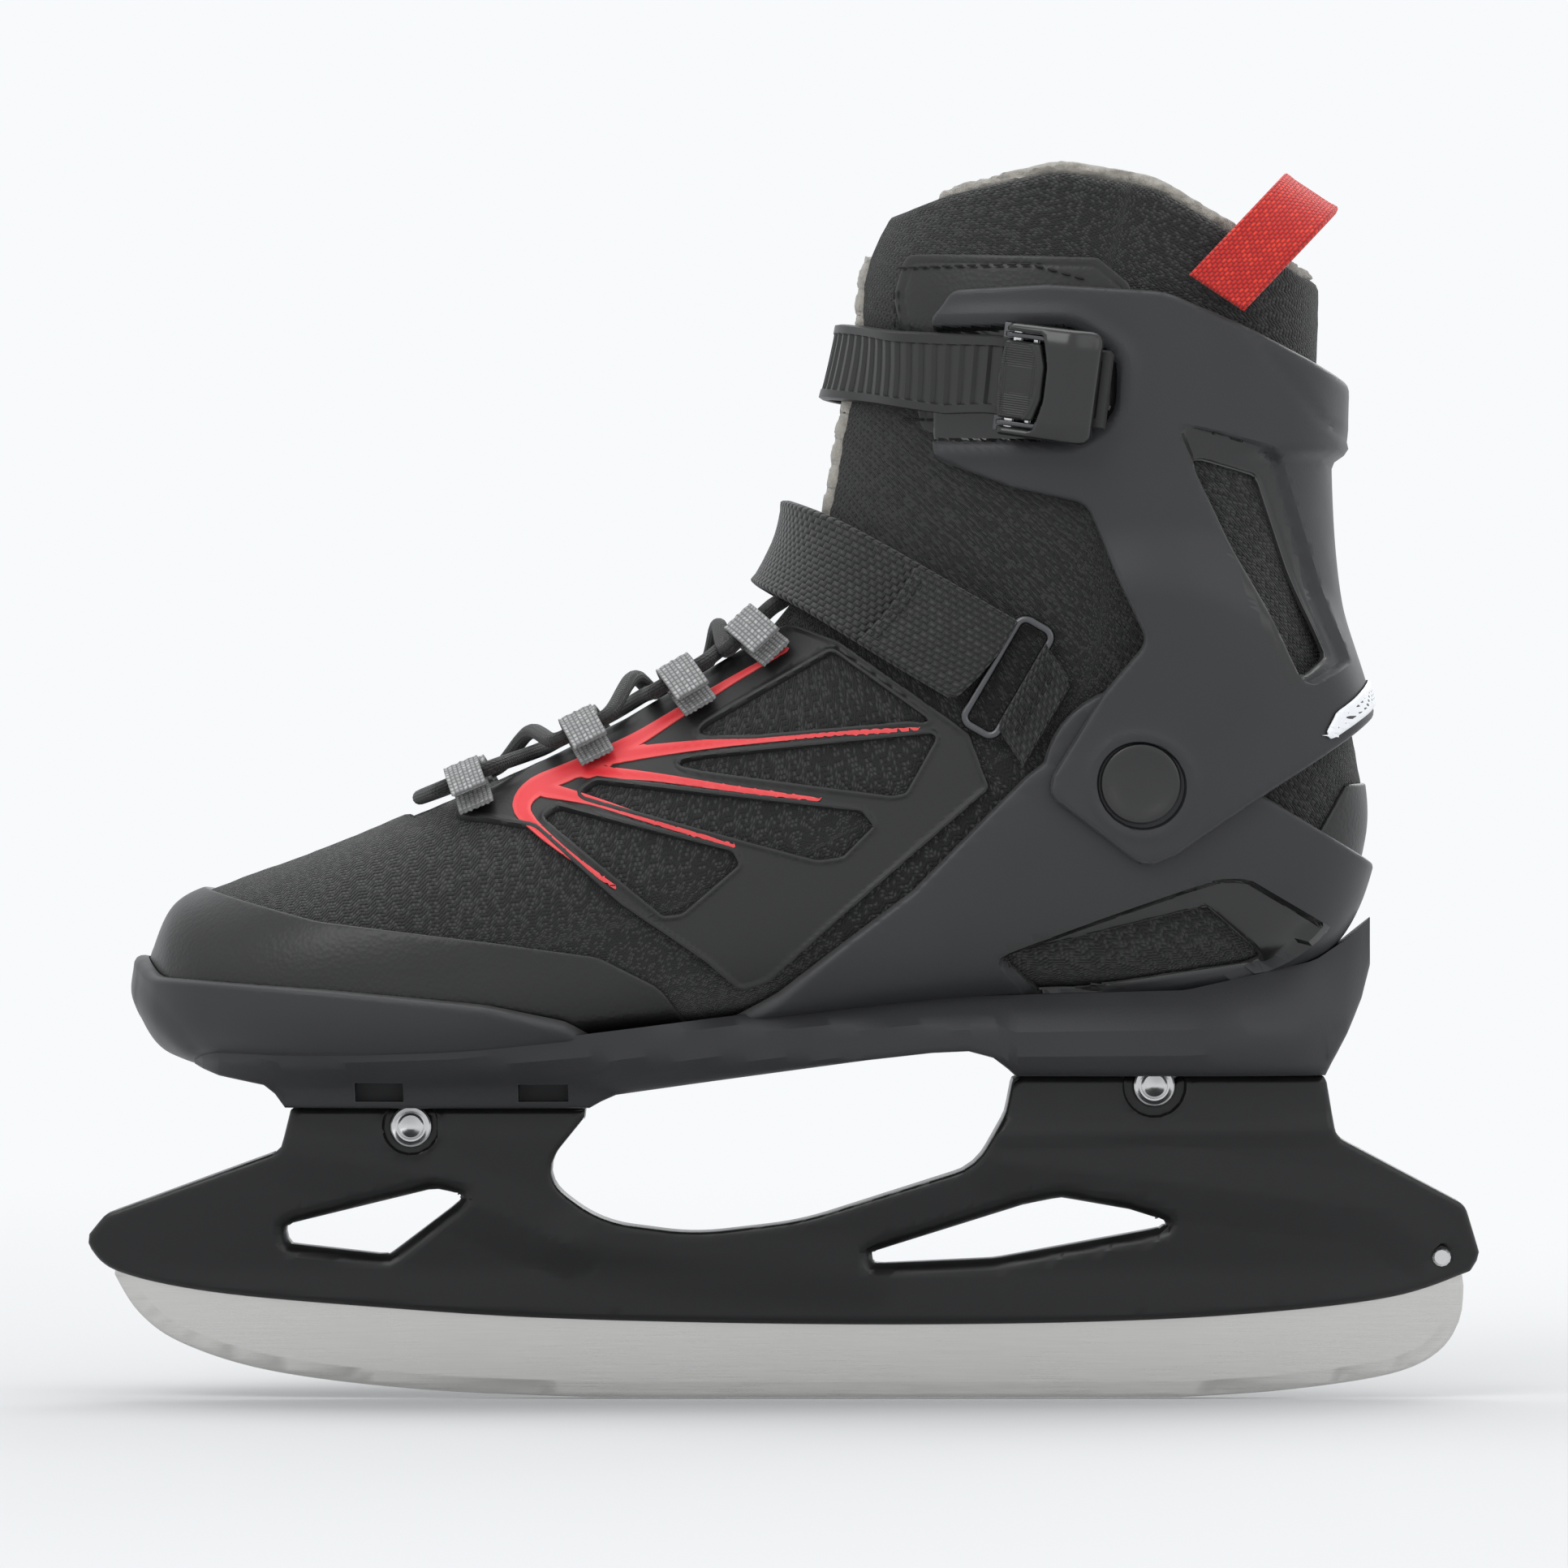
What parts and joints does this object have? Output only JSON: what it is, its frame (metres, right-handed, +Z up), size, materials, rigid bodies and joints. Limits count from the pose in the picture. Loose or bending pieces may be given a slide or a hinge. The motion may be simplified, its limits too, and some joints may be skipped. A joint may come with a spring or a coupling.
{
  "type": "ice skate",
  "caption": "Fitness ice skate: soft laced boot in a plastic chassis with a hinged cuff, ratchet buckle, instep strap, blade holder and stainless runner.",
  "frame": {"origin": "on the runner's flat edge, at the middle of the blade holder's length", "axes": "+X towards the heel, -X towards the toe, -Y towards the outer side of the foot, +Z up"},
  "size_m": [0.3425, 0.1191, 0.3016],
  "materials": {
    "stainless_steel": "brushed",
    "holder_plastic": "satin",
    "chromed_steel": "polished",
    "shell_plastic": "satin with a fine grain",
    "smooth_leather": "satin",
    "knit_fabric": "knitted mesh",
    "insole_foam": "matt",
    "overlay_film": "matt",
    "grey_webbing": "ribbed",
    "black_webbing": "woven",
    "red_webbing": "woven",
    "reflective_film": "reflective with a dot print",
    "fleece": "fluffy"
  },
  "bodies": {
    "chassis": {"runner_blade": "stainless_steel", "blade_holder": "holder_plastic", "blade_screw": "holder_plastic", "front_bolt": "chromed_steel", "front_bolt_nut": "chromed_steel", "rear_bolt": "chromed_steel", "rear_bolt_nut": "chromed_steel", "chassis_shell": "shell_plastic", "toe_bumper": "shell_plastic", "toe_rand": "smooth_leather", "boot_lower": "knit_fabric", "tongue_lower": "knit_fabric", "insole": "insole_foam", "side_overlay_outer": "overlay_film", "side_overlay_inner": "overlay_film", "heel_patch": "smooth_leather", "lace_loop_outer_1": "grey_webbing", "lace_loop_outer_2": "grey_webbing", "lace_loop_outer_3": "grey_webbing", "lace_loop_outer_4": "grey_webbing", "lace_loop_inner_1": "grey_webbing", "lace_loop_inner_2": "grey_webbing", "lace_loop_inner_3": "grey_webbing", "lace_loop_inner_4": "grey_webbing", "lace": "black_webbing", "instep_strap": "black_webbing", "strap_rivet": "stainless_steel", "strap_ring": "stainless_steel", "ring_anchor": "black_webbing", "pivot_cap_outer": "shell_plastic", "pivot_cap_inner": "shell_plastic", "pivot_nut_outer": "stainless_steel", "pivot_nut_inner": "stainless_steel"},
    "cuff": {"cuff_shell": "shell_plastic", "boot_shaft": "knit_fabric", "tongue_upper": "knit_fabric", "fleece_collar": "fleece", "ankle_patch_outer": "smooth_leather", "ankle_patch_inner": "smooth_leather", "reflective_strip": "reflective_film", "pull_loop": "red_webbing", "buckle_base": "stainless_steel", "buckle_rivet": "stainless_steel", "lever_pin": "chromed_steel", "trigger_pin": "stainless_steel", "trigger_spring": "stainless_steel", "ladder_strap": "shell_plastic", "ladder_rivet": "chromed_steel"},
    "lever": {"buckle_lever": "holder_plastic"},
    "trigger": {"release_trigger": "shell_plastic"}
  },
  "joints": [
    {"name": "cuff_lean", "type": "hinge", "parent": "chassis", "child": "cuff", "pos_m": [0.0864, 0, 0.1513], "axis": [0, 1, 0], "range_deg": [-8, 4], "stiffness_Nm_per_rad": 40},
    {"name": "lever_open", "type": "hinge", "parent": "cuff", "child": "lever", "pos_m": [0.05557, -0.05283, 0.24906], "axis": [-0.116, 0.0984, -0.9884], "range_deg": [0, 75], "stiffness_Nm_per_rad": 0.01},
    {"name": "trigger_press", "type": "hinge", "parent": "cuff", "child": "trigger", "pos_m": [0.05989, -0.05433, 0.2484], "axis": [-0.116, 0.0984, -0.9884], "range_deg": [0, 10], "stiffness_Nm_per_rad": 0.02}
  ]
}
